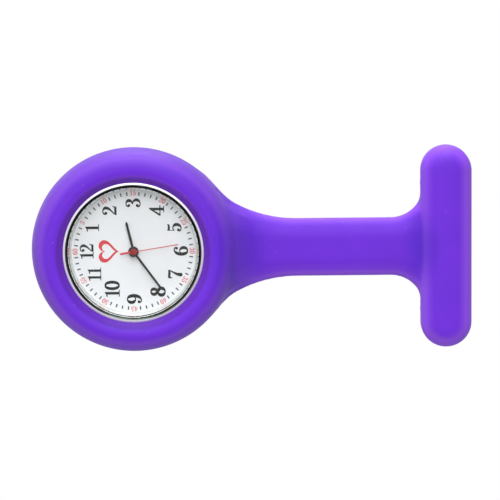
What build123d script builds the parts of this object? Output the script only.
from build123d import *
import math
import os

# Silicone fob watch: a round quartz watch in a silicone jacket that hangs from a T-bar with a
# brooch pin. It is stored as worn: T-bar on top, dial facing -Y, brooch facing +Y.
# The origin is the middle of the brooch pin's axis.
#
# Everything is drawn lying flat, dial up, and then stood up by place(). In the flat frame:
#   x  from the head's centre towards the T-bar (the dial's 6 o'clock)
#   y  towards the dial's 3 o'clock
#   z  out of the dial, with the head's back at z = 0

# ---- driving dimensions, mm ----
HEAD_R = 20.0              # silicone head, outside
HEAD_T = 11.5              # back of the head to its crest
BAR_X = 61.2               # head centre to the middle of the T-bar
BAR_L = 39.7               # T-bar, end to end
BAR_W = 10.0               # T-bar, its ends are half round
BAR_Z = (1.0, 8.0)         # T-bar, back and front
NECK_W = 11.2
NECK_Z = (2.0, 5.8)
NECK_ROUND = 1.7           # rounding of the neck's long edges
SHOULDER_R = 21.0          # plan fillet between head and neck
BAR_FILLET_R = 5.2         # plan fillet between neck and T-bar
FLEX = (41.5, 4.0)         # x and z of the line the neck bends on
FLEX_GAP = 0.1

CASE_R = 15.0
CASE_BACK_Z = 1.3          # outer face of the case back
CASE_TOP_Z = 10.0          # top of the bezel
POCKET_R = 15.05           # hollow of the jacket that holds the case
LIP_R = 13.95              # silicone lip over the bezel
BACK_WINDOW_R = 11.0       # hole in the jacket's back, through which the case is pushed out

BORE_R = 13.5              # inside of the case
SEAT_R = 13.3              # bezel's inner edge, which holds the gasket and the crystal
CRYSTAL_R = 12.6
CRYSTAL_Z = (8.95, 10.15)
DIAL_Z = (6.8, 7.2)
DIAL_R = 13.4
STEM_Z = 5.15

PLATE_R = 9.0              # movement
PLATE_Z = (5.75, 6.75)
RIM_R = 8.55
BATTERY_R = 3.4
BATTERY_AT = (-3.75, -3.75)
BATTERY_Z = (3.7, 6.3)
COIL_X = 5.3
CORE_Z = (4.5, 4.9)        # coil core and stator lie on each other
STATOR_Z = (4.9, 5.2)
BRIDGE_Z = (3.75, 3.97)
BOARD_Z = (3.5, 3.7)
PIVOT_Z = 3.8              # rear ends of the train's pivots, in the bridge
PIVOT_R = 0.08
YOKE_Z = (5.3, 5.5)
LEVER_Z = (4.3, 4.55)
LEVER_AXIS = (2.0, 7.75)
LEVER_PIN = (0, 7.25)
CROWN_R = 2.1
CROWN_Y = (15.15, 17.2)
TUBE_R = 0.9
STEM_R = 0.45

BROOCH_L = 35.6            # steel plate inside the T-bar
BROOCH_W = 6.4
BROOCH_Z = (1.8, 2.6)
BROOCH_GAP = 0.05          # between the plate and its pocket
WINDOW_L = 32.6            # opening in the T-bar's back
WINDOW_W = 4.2
PIN_R = 0.45
PIN_Z = -1.6               # axis of the brooch pin, behind the T-bar
PIN_HALF = 12.0            # half the pin's straight wire
HINGE_Y = -13.4
RIVET_R = 0.4
CATCH_Y = (12.2, 15.6)

# ---- gear train: tooth counts and modules ----
THIRD_AXIS = 120.0         # direction of each axis from its neighbour, degrees from x
FIFTH_AXIS = 315.0
MINUTE_AXIS = 90.0
SECONDS_M = 0.99 / 17      # fourth pinion 8 with third wheel 60
CENTRE_M = 0.055           # third pinion 8 with centre wheel 64
FIFTH_M = 0.065            # fifth pinion 6 with fourth wheel 30
ROTOR_M = 0.055            # rotor pinion 6 with fifth wheel 36
MOTION_M = 0.09            # cannon pinion 10 with minute wheel 30, and 8 with hour wheel 32

# ---- hands, degrees clockwise from 12 ----
HOUR_AT = 76.6
MINUTE_AT = 234.0
SECOND_AT = 171.0


def place(shape):
    """Stands a flat-frame shape up as worn, with the origin on the brooch pin."""
    upright = Plane(origin=(0, PIN_Z, -BAR_X), x_dir=(0, 0, 1), z_dir=(0, -1, 0))
    return upright.location * shape


def save(shape, name):
    os.makedirs("parts", exist_ok=True)
    solids = list(shape.solids())
    export_step(place(solids[0] if len(solids) == 1 else Compound(children=solids)), f"parts/{name}.step")


def rod(r, z0, z1, x=0.0, y=0.0):
    """Upright cylinder between two heights."""
    return Pos(x, y, (z0 + z1) / 2) * Cylinder(r, z1 - z0)


def ring(r_out, r_in, z0, z1, x=0.0, y=0.0):
    return rod(r_out, z0, z1, x, y) - rod(r_in, z0 - 1, z1 + 1, x, y)


def rod_y(r, y0, y1, x=0.0, z=0.0):
    """Cylinder along y."""
    return Pos(x, (y0 + y1) / 2, z) * Rot(90, 0, 0) * Cylinder(r, y1 - y0)


def rod_x(r, x0, x1, y=0.0, z=0.0):
    """Cylinder along x."""
    return Pos((x0 + x1) / 2, y, z) * Rot(0, 90, 0) * Cylinder(r, x1 - x0)


def block(x0, x1, y0, y1, z0, z1):
    return Pos((x0 + x1) / 2, (y0 + y1) / 2, (z0 + z1) / 2) * Box(x1 - x0, y1 - y0, z1 - z0)


def stadium(length, width, z0, z1, x=BAR_X):
    """Bar along y with half-round ends."""
    plan = Plane.XY.offset(z0) * Pos(x, 0) * Rot(0, 0, 90) * SlotOverall(length, width)
    return extrude(plan, z1 - z0)


def turned(points):
    """Solid of revolution about z from (radius, height) corners."""
    outline = make_face(Polyline(*[(r, 0, z) for r, z in points], close=True))
    return revolve(outline, Axis.Z)


def polar(r, degrees):
    return r * math.cos(math.radians(degrees)), r * math.sin(math.radians(degrees))


def gear(teeth, module, z0, z1, at=(0.0, 0.0), tooth_to=None, gap_to=None):
    """Spur gear with straight-sided teeth, turned so that a tooth or a gap points one way."""
    pitch_r = module * teeth / 2
    step = 360 / teeth
    start = tooth_to if tooth_to is not None else gap_to + step / 2
    corners = []
    for i in range(teeth):
        middle = start + i * step
        for r, share in ((-1.25, -0.34), (0.85, -0.12), (0.85, 0.12), (-1.25, 0.34)):
            corners.append(polar(pitch_r + r * module, middle + share * step))
    outline = Plane.XY.offset(z0) * make_face(Polyline(*corners, close=True))
    return Pos(at[0], at[1], 0) * extrude(outline, z1 - z0)


def spoked(shape, r_in, r_out, z0, z1, at, spokes=4):
    """Cuts the windows between a wheel's spokes."""
    for i in range(spokes):
        middle = i * 360 / spokes + 45
        half = 180 / spokes - 12
        corners = [polar(r_in, middle - half + k * half) for k in range(3)]
        corners += [polar(r_out, middle + half - k * half / 2) for k in range(5)]
        window = Plane.XY.offset(z0 - 0.1) * make_face(Polyline(*corners, close=True))
        shape -= Pos(at[0], at[1], 0) * extrude(window, z1 - z0 + 0.2)
    return shape


# ---------------------------------------------------------------- silicone jacket
def head_ring():
    """The round head: a soft-shouldered ring with the pocket for the case."""
    widest = (HEAD_R, 0, 5.4)
    lower = Spline((17.6, 0, 0), (19.25, 0, 1.3), widest, tangents=((1, 0, 0.1), (0, 0, 1)))
    top = (16.4, 0, HEAD_T)
    lip = (LIP_R, 0, 10.35)
    upper = Spline(widest, (19.3, 0, 8.9), (18.0, 0, 10.85), top, tangents=((0, 0, 1), (-1, 0, 0)))
    crest = Spline(top, (14.9, 0, 11.1), lip, tangents=((-1, 0, 0), (-0.3, 0, -1)))
    inside = Polyline(
        lip,
        (LIP_R, 0, CASE_TOP_Z + 0.03),
        (POCKET_R, 0, CASE_TOP_Z + 0.03),
        (POCKET_R, 0, CASE_BACK_Z),
        (BACK_WINDOW_R, 0, CASE_BACK_Z),
        (BACK_WINDOW_R, 0, 0),
        (17.6, 0, 0),
    )
    return revolve(make_face([lower, upper, crest, inside]), Axis.Z)


def neck_slab():
    """The flat neck, with wide fillets into the head and tight ones into the T-bar."""
    half = NECK_W / 2
    reach = HEAD_R + SHOULDER_R
    far_y = half + SHOULDER_R
    far_x = math.sqrt(reach**2 - far_y**2)
    on_head = (far_x * HEAD_R / reach, far_y * HEAD_R / reach)
    edge = BAR_X - BAR_W / 2
    mid = math.radians(-90 - (90 - math.degrees(math.atan2(far_x, far_y))) / 2)
    bend = (far_x + SHOULDER_R * math.cos(mid), far_y + SHOULDER_R * math.sin(mid))
    c = math.sqrt(0.5) * BAR_FILLET_R
    corner = (edge - BAR_FILLET_R + c, half + BAR_FILLET_R - c)

    def side(s):
        return [
            ThreePointArc((on_head[0], s * on_head[1]), (bend[0], s * bend[1]), (far_x, s * half)),
            Line((far_x, s * half), (edge - BAR_FILLET_R, s * half)),
            ThreePointArc(
                (edge - BAR_FILLET_R, s * half),
                (corner[0], s * corner[1]),
                (edge, s * (half + BAR_FILLET_R)),
            ),
            Line((edge, s * (half + BAR_FILLET_R)), (BAR_X, s * (half + BAR_FILLET_R))),
        ]

    ends = [
        Line((BAR_X, half + BAR_FILLET_R), (BAR_X, -half - BAR_FILLET_R)),
        Line((on_head[0], -on_head[1]), (on_head[0], on_head[1])),
    ]
    plan = Plane.XY.offset(NECK_Z[0]) * make_face(side(1) + side(-1) + ends)
    slab = extrude(plan, NECK_Z[1] - NECK_Z[0])
    long_edges = [
        e
        for e in slab.edges()
        if far_x - 0.01 < e.center().X < edge
        and abs(abs(e.center().Y) - half) < 0.01
        and e.geom_type == GeomType.LINE
    ]
    return chamfer(long_edges, NECK_ROUND * 0.6)


def bar_body():
    """The T-bar, crowned in front, with the pocket and window for the brooch plate."""
    bar = stadium(BAR_L, BAR_W, *BAR_Z)
    front = bar.faces().sort_by(Axis.Z)[-1].edges()
    bar = fillet(front, 3.0)
    back = bar.faces().sort_by(Axis.Z)[0].edges()
    bar = fillet(back, 1.2)
    return bar


def flex_half(towards_bar):
    """The side of the bending line that one half of the neck keeps: a wedge that lets it fold."""
    s = 1 if towards_bar else -1
    x, z = FLEX[0] + s * FLEX_GAP, FLEX[1]
    front = 20.0
    back = 20.0 * math.tan(math.radians(16))
    corners = [
        (x, z),
        (x + s * front, z + front),
        (x + s * 90, z + front),
        (x + s * 90, z - 20),
        (x + s * back, z - 20),
    ]
    outline = make_face(Polyline(*[(a, -40, b) for a, b in corners], close=True))
    return extrude(outline, 80, dir=(0, 1, 0))


def jacket():
    whole = head_ring() + (neck_slab() - rod(POCKET_R, -1, 20)) + bar_body()
    whole -= rod_y(CROWN_R + 0.4, 14.5, 18.4, z=STEM_Z)
    pocket = (BROOCH_L + 2 * BROOCH_GAP, BROOCH_W + 2 * BROOCH_GAP)
    whole -= stadium(*pocket, BROOCH_Z[0], BROOCH_Z[1] + BROOCH_GAP)
    whole -= stadium(WINDOW_L, WINDOW_W, 0, 2.0)
    return whole & flex_half(False), whole & flex_half(True)


jacket_head, jacket_bar = jacket()
save(jacket_head, "jacket_head")
save(jacket_bar, "jacket_bar")


# ---------------------------------------------------------------- brooch
def brooch_plate():
    """Steel plate inside the T-bar, with two hinge ears that stand out through the window."""
    plate = stadium(BROOCH_L, BROOCH_W, *BROOCH_Z)
    for y in (-6, 0, 6):
        plate -= rod(1.1, 1, 3, BAR_X, y)
    for s in (-1, 1):
        x0, x1 = sorted((BAR_X + s * 0.5, BAR_X + s * 0.9))
        plate += block(x0, x1, HINGE_Y - 1.05, HINGE_Y + 1.05, PIN_Z, BROOCH_Z[0])
        plate += rod_x(1.05, x0, x1, HINGE_Y, PIN_Z)
    return plate - rod_x(RIVET_R, BAR_X - 2, BAR_X + 2, HINGE_Y, PIN_Z)


def rivet():
    """Hinge rivet with a head on each side."""
    shape = rod_x(RIVET_R, BAR_X - 0.9, BAR_X + 0.9, HINGE_Y, PIN_Z)
    for s in (-1, 1):
        x0, x1 = sorted((BAR_X + s * 0.9, BAR_X + s * 1.12))
        shape += rod_x(0.7, x0, x1, HINGE_Y, PIN_Z)
    return shape


def brooch_pin():
    """Pin wire with a flat eye at the hinge and a ground point."""
    eye = rod_x(0.9, BAR_X - 0.44, BAR_X + 0.44, HINGE_Y, PIN_Z)
    root = block(BAR_X - 0.4, BAR_X + 0.4, HINGE_Y, -PIN_HALF - 0.1, PIN_Z - 0.32, PIN_Z + 0.32)
    collar = rod_y(0.75, -PIN_HALF - 0.25, -PIN_HALF, BAR_X, PIN_Z)
    wire = rod_y(PIN_R, -PIN_HALF, PIN_HALF, BAR_X, PIN_Z)
    point = Pos(BAR_X, PIN_HALF + 1.6, PIN_Z) * Rot(-90, 0, 0) * Cone(PIN_R, 0.08, 3.2)
    hole = rod_x(RIVET_R + 0.05, BAR_X - 2, BAR_X + 2, HINGE_Y, PIN_Z)
    return eye + root + collar + wire + point - hole


def wedge(half_angle, y0, y1):
    """Open sector below the pin's axis, for the catch's mouth."""
    far = 4.0
    a = math.radians(half_angle)
    corners = [
        (BAR_X, PIN_Z),
        (BAR_X + far * math.sin(a), PIN_Z - far * math.cos(a)),
        (BAR_X + far, PIN_Z - far),
        (BAR_X - far, PIN_Z - far),
        (BAR_X - far * math.sin(a), PIN_Z - far * math.cos(a)),
    ]
    outline = make_face(Polyline(*[(a, y0, b) for a, b in corners], close=True))
    return extrude(outline, y1 - y0, dir=(0, 1, 0))


def catch_housing():
    """C-shaped barrel on a foot, open to the back, with an inward flange at each end."""
    y0, y1 = CATCH_Y
    shape = rod_y(1.65, y0, y1, BAR_X, PIN_Z)
    shape += block(BAR_X - 0.9, BAR_X + 0.9, y0, y1, PIN_Z, BROOCH_Z[0])
    shape -= rod_y(0.9, y0 - 1, y1 + 1, BAR_X, PIN_Z)
    shape -= rod_y(1.3, y0 + 0.35, y1 - 0.35, BAR_X, PIN_Z)
    return shape - wedge(75, y0 - 1, y1 + 1)


def catch_lock():
    """Slotted sleeve that turns in the housing, with a thumb tab."""
    y0, y1 = CATCH_Y[0] + 0.4, CATCH_Y[1] - 0.4
    shape = rod_y(1.25, y0, y1, BAR_X, PIN_Z) - rod_y(0.55, y0 - 1, y1 + 1, BAR_X, PIN_Z)
    shape -= block(BAR_X - 0.55, BAR_X + 0.55, y0 - 1, y1 + 1, PIN_Z - 3, PIN_Z)
    middle = (y0 + y1) / 2
    tab = block(-0.25, 0.25, middle - 0.7, middle + 0.7, -2.15, -1.0)
    return shape + Pos(BAR_X, 0, PIN_Z) * Rot(0, -50, 0) * tab


save(brooch_plate(), "brooch_plate")
save(rivet(), "brooch_rivet")
save(brooch_pin(), "brooch_pin")
save(catch_housing(), "catch_housing")
save(catch_lock(), "catch_lock")


# ---------------------------------------------------------------- watch case
def case():
    body = turned([
        (BORE_R, 3.1),
        (14.2, 3.1),
        (14.2, 2.25),
        (14.6, 2.25),
        (CASE_R, 2.7),
        (CASE_R, 9.3),
        (14.75, 9.75),
        (14.3, CASE_TOP_Z),
        (SEAT_R, CASE_TOP_Z),
        (SEAT_R, CRYSTAL_Z[0]),
        (CRYSTAL_R, CRYSTAL_Z[0]),
        (CRYSTAL_R, 8.45),
        (BORE_R, 8.45),
    ])
    return body - rod_y(TUBE_R, 12, 16, z=STEM_Z)


def case_back():
    """Snap-on back: a dished disc with a snap wall inside and an opener notch."""
    back = turned([
        (0, CASE_BACK_Z),
        (12.6, CASE_BACK_Z),
        (12.7, CASE_BACK_Z + 0.12),
        (12.9, CASE_BACK_Z + 0.12),
        (13.0, CASE_BACK_Z),
        (14.2, CASE_BACK_Z),
        (14.55, 1.6),
        (14.55, 2.2),
        (13.75, 2.2),
        (13.75, 3.0),
        (13.1, 3.0),
        (13.1, 2.2),
        (0, 2.2),
    ])
    return back - block(-1.2, 1.2, -15, -14.1, 1, 2.3)


save(case(), "case")
save(case_back(), "case_back")
save(ring(14.18, 13.78, 2.3, 2.8), "case_back_gasket")
save(ring(SEAT_R, CRYSTAL_R, CRYSTAL_Z[0], CASE_TOP_Z - 0.05), "crystal_gasket")
glass = rod(CRYSTAL_R, *CRYSTAL_Z)
save(chamfer(glass.faces().sort_by(Axis.Z)[-1].edges(), 0.2), "crystal")
save(turned([(12.05, 7.2), (13.45, 7.2), (13.45, 8.4), (12.55, 8.4)]), "rehaut")

# ---------------------------------------------------------------- dial and hands
feet = [polar(8.0, 200), polar(8.0, 20)]
dial = ring(DIAL_R, 0.85, *DIAL_Z)
for foot in feet:
    dial += rod(0.3, 6.0, DIAL_Z[0], *foot)
save(dial, "dial")


def hand(at, tip, tail, width, z0, z1, hub_r, bore_r, tail_width=None):
    """Stick hand: hub, arm and tail, pointing clockwise from 12."""
    arm = block(0, tip, -width / 2, width / 2, z0, z1)
    if tail:
        w = (tail_width or width) / 2
        arm += block(-tail, 0, -w, w, z0, z1)
    shape = arm + rod(hub_r, z0, z1)
    if bore_r:
        shape -= rod(bore_r, z0 - 1, z1 + 1)
    return Rot(0, 0, 180 - at) * shape


save(hand(HOUR_AT, 5.95, 0, 0.46, 7.6, 7.75, 0.95, 0.7), "hour_hand")
save(hand(MINUTE_AT, 8.9, 0, 0.42, 8.0, 8.12, 1.02, 0.44), "minute_hand")
second = hand(SECOND_AT, 8.9, 2.65, 0.2, 8.35, 8.45, 0.7, 0, 0.4)
second += Rot(0, 0, 180 - SECOND_AT) * rod(0.7, 8.3, 8.62)
save(second - rod(0.12, 8, 8.5), "second_hand")

# ---------------------------------------------------------------- gear train
third_at = polar(36 * CENTRE_M, THIRD_AXIS)
fifth_at = polar(18 * FIFTH_M, FIFTH_AXIS)
rotor_at = polar(18 * FIFTH_M + 21 * ROTOR_M, FIFTH_AXIS)
minute_at = polar(20 * MOTION_M, MINUTE_AXIS)

fourth = rod(0.12, 4.3, 8.5) + rod(PIVOT_R, PIVOT_Z, 4.3)
fourth += gear(30, FIFTH_M, 4.5, 4.65, tooth_to=FIFTH_AXIS)
fourth += gear(8, SECONDS_M, 4.85, 5.15, tooth_to=THIRD_AXIS)
save(fourth, "fourth_wheel")

third = rod(0.14, 4.6, 5.7, *third_at) + rod(PIVOT_R, PIVOT_Z, 4.6, *third_at)
third_z = (4.95, 5.08)
third += gear(60, SECONDS_M, *third_z, third_at, gap_to=THIRD_AXIS + 180)
third += gear(8, CENTRE_M, 5.25, 5.65, third_at, gap_to=THIRD_AXIS + 180)
save(spoked(third, 0.45, 1.45, *third_z, third_at), "third_wheel")

centre_z = (5.38, 5.52)
centre = rod(0.44, 5.25, 8.2) + gear(64, CENTRE_M, *centre_z, tooth_to=THIRD_AXIS)
centre = spoked(centre, 0.6, 1.4, *centre_z, (0, 0))
centre += gear(10, MOTION_M, 6.2, 6.4, tooth_to=MINUTE_AXIS)
save(centre - rod(0.17, 5, 9), "centre_wheel")

fifth = rod(0.12, 4.0, 4.85, *fifth_at) + rod(PIVOT_R, PIVOT_Z, 4.0, *fifth_at)
fifth += gear(36, ROTOR_M, 4.15, 4.27, fifth_at, tooth_to=FIFTH_AXIS)
fifth += gear(6, FIFTH_M, 4.42, 4.73, fifth_at, gap_to=FIFTH_AXIS + 180)
save(fifth, "fifth_wheel")

arbor = rod(0.12, 4.05, 5.6, *rotor_at) + rod(PIVOT_R, PIVOT_Z, 4.05, *rotor_at)
arbor += gear(6, ROTOR_M, 4.08, 4.34, rotor_at, gap_to=FIFTH_AXIS + 180)
save(arbor, "rotor_pinion")
save(ring(0.85, 0.12, 4.42, 4.98, *rotor_at), "rotor_magnet")

minute_wheel = gear(30, MOTION_M, 6.22, 6.38, minute_at, gap_to=MINUTE_AXIS + 180)
minute_wheel += gear(8, MOTION_M, 6.38, 6.68, minute_at, gap_to=MINUTE_AXIS + 180)
minute_wheel -= rod(0.15, 6, 7, *minute_at)
save(minute_wheel, "minute_wheel")

hour_wheel = gear(32, MOTION_M, 6.46, 6.62, tooth_to=MINUTE_AXIS) + rod(0.7, 6.46, 7.85)
save(hour_wheel - rod(0.5, 6, 8), "hour_wheel")


# ---------------------------------------------------------------- movement plates
def main_plate():
    """Moulded plate under the dial, with a rim, pivot holes and the motion-work recess."""
    plate = rod(PLATE_R, *PLATE_Z) + ring(PLATE_R, RIM_R, 3.9, PLATE_Z[0])
    plate -= rod(BATTERY_R + 0.05, 3, BATTERY_Z[1] + 0.05, *BATTERY_AT)
    plate -= rod(1.65, 6.15, 7)
    plate -= rod(1.55, 6.15, 7, *minute_at)
    plate += rod(0.1, 6.1, 6.6, *minute_at)
    plate -= rod(0.47, 5, 7)
    plate -= rod(0.2, 5, 5.95, *third_at)
    plate -= rod(0.17, 5, 5.7, *rotor_at)
    plate -= rod_y(0.5, 7, 10, z=STEM_Z)
    plate -= block(-0.95, 0.95, 5.0, 6.9, 4, 6.05)
    for x, y in feet:
        plate -= rod(0.34, 5, 7, x, y)
    for x, y in screws_at:
        plate += ring(0.55, 0.3, 4.0, PLATE_Z[0], x, y)
    return plate


screws_at = [(2.9, -4.6), (3.3, 2.6), (-3.3, 0.6)]


def train_bridge():
    """Steel bridge over the train, cleared round the battery and the coil."""
    corners = [
        (3.9, -5.3),
        (4.1, 3.5),
        (0.9, 4.3),
        (-2.6, 3.0),
        (-4.3, 1.3),
        (-3.9, -0.3),
        (1.2, -5.5),
    ]
    outline = Plane.XY.offset(BRIDGE_Z[0]) * make_face(Polyline(*corners, close=True))
    bridge = extrude(outline, BRIDGE_Z[1] - BRIDGE_Z[0])
    bridge -= rod(BATTERY_R + 0.15, 3, 5, *BATTERY_AT)
    for x, y in ((0, 0), third_at, fifth_at, rotor_at):
        bridge -= rod(0.11, 3, 5, x, y)
    for x, y in screws_at:
        bridge -= rod(0.35, 3, 5, x, y)
    return bridge


def bridge_screws():
    """Three equal slotted screws."""
    group = []
    for x, y in screws_at:
        one = rod(0.28, 3.6, 5.2, x, y) + rod(0.6, 3.5, 3.74, x, y)
        group.append(one - block(x - 1, x + 1, y - 0.07, y + 0.07, 3.4, 3.6))
    return Compound(children=group)


save(main_plate(), "main_plate")
save(train_bridge(), "train_bridge")
save(bridge_screws(), "bridge_screws")

# ---------------------------------------------------------------- stepping motor
core = block(COIL_X - 0.3, COIL_X + 0.3, -4.4, 2.4, *CORE_Z)
for y0, y1 in ((-5.6, -4.3), (2.3, 3.6)):
    core += block(COIL_X - 0.6, COIL_X + 0.6, y0, y1, *CORE_Z)
save(core, "coil_core")
coil_z = (CORE_Z[0] + CORE_Z[1]) / 2
winding = rod_y(0.85, -4.0, 2.0, COIL_X, coil_z)
for y0, y1 in ((-4.25, -4.0), (2.0, 2.25)):
    winding += rod_y(1.0, y0, y1, COIL_X, coil_z)
save(winding - block(COIL_X - 0.3, COIL_X + 0.3, -6, 6, *CORE_Z), "coil_winding")


def stator():
    """Soft-iron stator: two arms from the coil's ends to the ring round the rotor."""
    rx, ry = rotor_at
    corners = [
        (COIL_X + 0.6, -5.6),
        (COIL_X + 0.6, -4.4),
        (COIL_X - 1.4, -4.4),
        (rx + 1.5, ry - 0.6),
        (rx + 1.5, ry + 0.7),
        (COIL_X - 1.4, 2.4),
        (COIL_X + 0.6, 2.4),
        (COIL_X + 0.6, 3.6),
        (COIL_X - 1.6, 3.6),
        (rx - 0.2, ry + 1.5),
        (rx - 0.2, ry - 1.5),
        (COIL_X - 1.6, -5.6),
    ]
    outline = Plane.XY.offset(STATOR_Z[0]) * make_face(Polyline(*corners, close=True))
    plate = extrude(outline, STATOR_Z[1] - STATOR_Z[0]) + rod(1.3, *STATOR_Z, rx, ry)
    for x, y in screws_at[:2]:
        plate += rod(1.1, *STATOR_Z, x, y)
        plate -= rod(0.6, 4, 6, x, y)
    return plate - rod(1.0, 4, 6, rx, ry)


save(stator(), "stator")

# ---------------------------------------------------------------- electronics
quartz = rod_x(0.75, -6.3, -1.6, 4.4, 4.85) + rod_x(0.6, -1.6, -1.4, 4.4, 4.85)
save(quartz, "quartz_crystal")


def circuit_board():
    """Crescent board behind the coil and the quartz can, with two battery contacts."""
    arc = [polar(8.4, a) for a in range(-48, 177, 9)]
    back = [polar(4.7, a) for a in range(176, -49, -14)]
    outline = Plane.XY.offset(BOARD_Z[0]) * make_face(Polyline(*(arc + back), close=True))
    board = extrude(outline, BOARD_Z[1] - BOARD_Z[0])
    for x, y in screws_at:
        board -= rod(0.65, 3, 4, x, y)
    return board


save(circuit_board(), "circuit_board")
save(block(2.4, 4.0, 5.2, 6.8, BOARD_Z[1], 4.2), "ic_chip")
cell = rod(BATTERY_R, 3.75, BATTERY_Z[1], *BATTERY_AT) + rod(2.6, 3.65, 3.75, *BATTERY_AT)
save(cell, "battery")
clip = block(-7.2, -0.4, -4.15, -3.35, 3.45, 3.6) + rod(1.3, 3.45, 3.6, *BATTERY_AT)
save(Pos(*BATTERY_AT) * Rot(0, 0, 45) * Pos(-BATTERY_AT[0], -BATTERY_AT[1]) * clip, "battery_clip")


def movement_holder():
    """Moulded ring that centres the movement in the case, lightened from behind."""
    shape = ring(13.4, 9.05, 3.2, 6.75)
    for i in range(12):
        if i != 3:
            shape -= rod(1.5, 3, 6.0, *polar(11.25, i * 30))
    return shape - rod_y(TUBE_R, 8, 14, z=STEM_Z)


save(movement_holder(), "movement_holder")


# ---------------------------------------------------------------- crown and stem
def crown():
    """Fluted crown with a hollow for the tube and its seal."""
    shape = chamfer(rod_y(CROWN_R, *CROWN_Y, z=STEM_Z).edges(), 0.2)
    shape -= rod_y(1.25, 15, 16.4, z=STEM_Z)
    flutes = 24
    for i in range(flutes):
        flute = rod_y(0.16, 15, 17.0, z=CROWN_R + 0.04)
        shape -= Pos(0, 0, STEM_Z) * Rot(0, i * 360 / flutes, 0) * flute
    return shape


def stem():
    """Stem with a pilot, a square for the sliding pinion and a groove for the setting lever."""
    shape = rod_y(0.22, 4.3, 4.8, z=STEM_Z)
    shape += block(-0.3, 0.3, 4.8, 6.9, STEM_Z - 0.3, STEM_Z + 0.3)
    shape += rod_y(STEM_R, 6.9, 7.0, z=STEM_Z) + rod_y(0.28, 7.0, 7.5, z=STEM_Z)
    return shape + rod_y(STEM_R, 7.5, 16.4, z=STEM_Z)


def sliding_pinion():
    """Clutch pinion on the stem's square, with a groove for the yoke and end teeth."""
    shape = rod_y(0.8, 5.3, 6.6, z=STEM_Z) - rod_y(0.9, 5.85, 6.15, z=STEM_Z)
    shape += rod_y(0.55, 5.3, 6.6, z=STEM_Z)
    for i in range(12):
        notch = block(-0.07, 0.07, 5.2, 5.45, 0.5, 1.0)
        shape -= Pos(0, 0, STEM_Z) * Rot(0, i * 30, 0) * notch
    return shape - block(-0.33, 0.33, 5, 7, STEM_Z - 0.33, STEM_Z + 0.33)


def setting_lever():
    """Lever whose pin sits in the stem's groove, so it swings when the crown is pulled."""
    shape = rod(0.42, *LEVER_Z, *LEVER_AXIS) + rod(0.26, *LEVER_Z, *LEVER_PIN)
    across = [(2.0, 8.1), (-0.05, 7.48), (0.1, 7.0), (2.1, 7.4)]
    arm = Plane.XY.offset(LEVER_Z[0]) * make_face(Polyline(*across, close=True))
    shape += extrude(arm, LEVER_Z[1] - LEVER_Z[0])
    shape += rod(0.18, 4.5, 4.84, *LEVER_PIN)
    return shape - rod(0.2, 4, 5, *LEVER_AXIS)


def yoke():
    """Yoke fixed beside the stem, with its finger in the sliding pinion's groove."""
    shape = rod(0.45, *YOKE_Z, -2.3, 6.9)
    corners = [(-2.5, 6.6), (-2.1, 7.2), (-0.95, 6.1), (-0.62, 6.1), (-0.62, 5.9), (-1.2, 5.9)]
    arm = Plane.XY.offset(YOKE_Z[0]) * make_face(Polyline(*corners, close=True))
    return shape + extrude(arm, YOKE_Z[1] - YOKE_Z[0])


save(crown(), "crown")
save(stem(), "stem")
seal_y = (15.8, 16.2)
seal = rod_y(1.24, *seal_y, z=STEM_Z) - rod_y(TUBE_R + 0.02, 15, 17, z=STEM_Z)
save(seal, "crown_seal")
tube = rod_y(TUBE_R, 13.2, 16.1, z=STEM_Z) - rod_y(0.5, 12, 17, z=STEM_Z)
save(tube, "crown_tube")
save(sliding_pinion(), "sliding_pinion")
save(setting_lever(), "setting_lever")
save(yoke(), "yoke")
